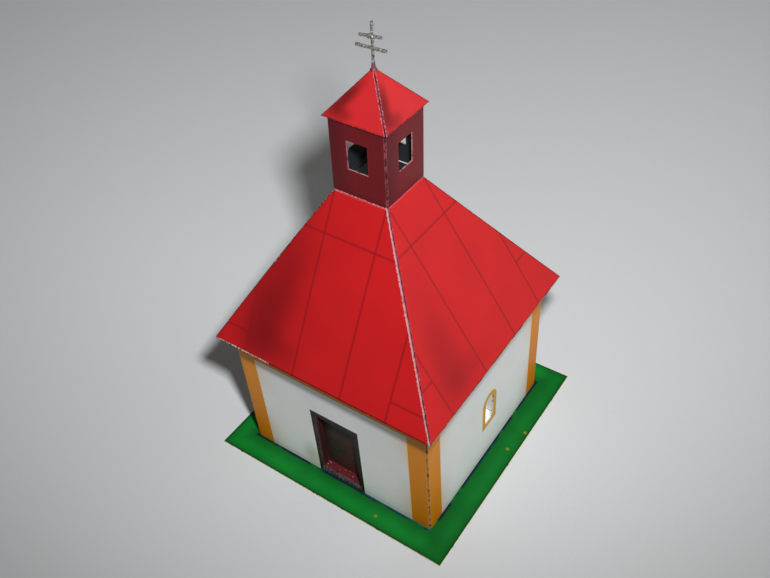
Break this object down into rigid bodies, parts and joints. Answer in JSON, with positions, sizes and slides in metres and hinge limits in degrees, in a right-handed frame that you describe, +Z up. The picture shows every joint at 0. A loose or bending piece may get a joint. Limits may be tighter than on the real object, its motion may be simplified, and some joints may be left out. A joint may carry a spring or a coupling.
{
  "type": "card model chapel",
  "caption": "Folded card model of a small square chapel with a steep red roof, an open belfry and a double-barred cross, standing on a green base card.",
  "frame": {"origin": "middle of the base card's underside", "axes": "+Z up the chapel's axis, -Y out of the door wall, +X out of the wall to the right of the door"},
  "size_m": [0.065, 0.065, 0.1076],
  "materials": {
    "green_card": "printed satin card",
    "wall_card": "printed satin card",
    "roof_card": "printed satin card",
    "belfry_card": "printed satin card",
    "door_card": "printed satin card",
    "sill_card": "printed satin card",
    "plain_card": "unprinted matt card",
    "silver_foil": "crinkled foil"
  },
  "bodies": {
    "root": {"base_card": "green_card", "front_wall": "wall_card", "right_wall": "wall_card", "back_wall": "wall_card", "left_wall": "wall_card", "wall_seam_tab": "plain_card", "front_foot_tab": "plain_card", "right_foot_tab": "plain_card", "back_foot_tab": "plain_card", "left_foot_tab": "plain_card", "door_leaf": "door_card", "door_left_jamb": "door_card", "door_right_jamb": "door_card", "door_lintel": "door_card", "door_sill": "sill_card", "roof_front": "roof_card", "roof_right": "roof_card", "roof_back": "roof_card", "roof_left": "roof_card", "roof_seam_tab": "plain_card", "roof_tab_front": "plain_card", "roof_tab_right": "plain_card", "roof_tab_back": "plain_card", "roof_tab_left": "plain_card", "belfry_front": "belfry_card", "belfry_right": "belfry_card", "belfry_back": "belfry_card", "belfry_left": "belfry_card", "belfry_seam_tab": "belfry_card", "belfry_roof_front": "roof_card", "belfry_roof_right": "roof_card", "belfry_roof_back": "roof_card", "belfry_roof_left": "roof_card", "belfry_roof_seam_tab": "plain_card", "cross_foot": "silver_foil", "cross_post": "silver_foil", "cross_lower_bar": "silver_foil", "cross_upper_bar": "silver_foil"}
  },
  "joints": []
}
